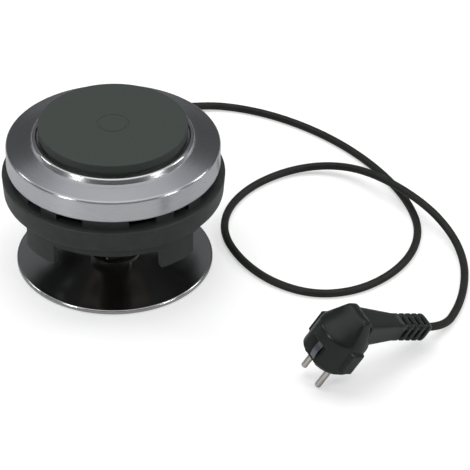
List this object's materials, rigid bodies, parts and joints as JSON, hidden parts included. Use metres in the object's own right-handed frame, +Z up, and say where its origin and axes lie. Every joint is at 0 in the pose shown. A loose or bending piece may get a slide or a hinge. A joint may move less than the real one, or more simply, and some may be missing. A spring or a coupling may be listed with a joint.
{
  "type": "electric hot plate burner",
  "caption": "Round electric hot plate with a cast plate in a spun steel cover, on a black vented collar and a disc foot with a height nut, with cord and angled plug.",
  "frame": {"origin": "on the floor under the burner's axis", "axes": "+Z up, +Y towards the cord gland at the back of the collar"},
  "size_m": [0.3482, 0.3688, 0.1198],
  "materials": {
    "rubber_foot": "matt black rubber",
    "polished_steel": "mirror-polished stainless pressing",
    "nut_steel": "dark turned steel",
    "clip_steel": "dull spring steel",
    "washer_plastic": "plain black bearing plastic",
    "zinc_steel": "zinc-plated steel",
    "dark_steel": "dark browned steel",
    "black_paint": "black painted sheet",
    "black_moulding": "satin black moulding",
    "brushed_cover": "spun stainless, brushed around the axis",
    "bright_ring": "bright rolled stainless",
    "cast_plate": "dark coated cast iron",
    "coil_alloy": "resistance wire",
    "ceramic": "white ceramic",
    "shield_aluminium": "plain aluminium sheet",
    "terminal_brass": "plain brass",
    "core_sheath": "core sheath",
    "live_sheath": "brown sheath",
    "neutral_sheath": "blue sheath",
    "earth_sheath": "green and yellow sheath",
    "cord_rubber": "satin black cord sheath",
    "plug_rubber": "satin black moulded rubber",
    "plug_face_plastic": "dark hard face",
    "pin_nickel": "nickel-plated brass"
  },
  "bodies": {
    "base": {"foot_ring": "rubber_foot", "base_disc": "polished_steel", "thrust_washer": "washer_plastic", "power_cord": "cord_rubber", "plug_body": "plug_rubber", "plug_insert": "plug_face_plastic", "plug_pins": "pin_nickel", "plug_earth_clips": "clip_steel"},
    "nut": {"height_nut": "nut_steel", "retaining_ring": "zinc_steel"},
    "head": {"stem": "dark_steel", "stem_flange": "dark_steel", "stem_screws": "dark_steel", "pan_screws": "dark_steel", "bottom_pan": "black_paint", "stem_nuts": "zinc_steel", "plate_stud": "zinc_steel", "stud_nut": "zinc_steel", "stud_washer": "zinc_steel", "bridge": "zinc_steel", "bridge_screws": "zinc_steel", "shield_spacer": "zinc_steel", "shield_nut": "zinc_steel", "thermostat_rivets": "zinc_steel", "earth_screw": "zinc_steel", "cord_clamp": "zinc_steel", "clamp_screws": "zinc_steel", "plate_bottom_cover": "zinc_steel", "collar": "black_moulding", "steel_cover": "brushed_cover", "spill_ring": "bright_ring", "hot_plate": "cast_plate", "heating_coil": "coil_alloy", "coil_terminals": "coil_alloy", "insulating_compound": "ceramic", "terminal_bushes": "ceramic", "thermostat": "ceramic", "terminal_block": "ceramic", "heat_shield": "shield_aluminium", "terminal_screws": "terminal_brass", "supply_cores": "core_sheath", "live_lead": "live_sheath", "switched_lead": "live_sheath", "neutral_lead": "neutral_sheath", "earth_lead": "earth_sheath", "cord_tail": "cord_rubber", "cord_gland": "cord_rubber"}
  },
  "joints": [
    {"name": "nut_turn", "type": "hinge", "parent": "base", "child": "nut", "pos_m": [0, 0, 0.016], "axis": [0, 0, 1], "range_deg": [0, 1080]},
    {"name": "head_lift", "type": "slide", "parent": "base", "child": "head", "axis": [0, 0, 1], "range_m": [0, 0.012], "deforming": ["power_cord"]}
  ],
  "couplings": [
    {"joint": "nut_turn", "follows": "head_lift", "rad_per_m": 1570.8}
  ]
}
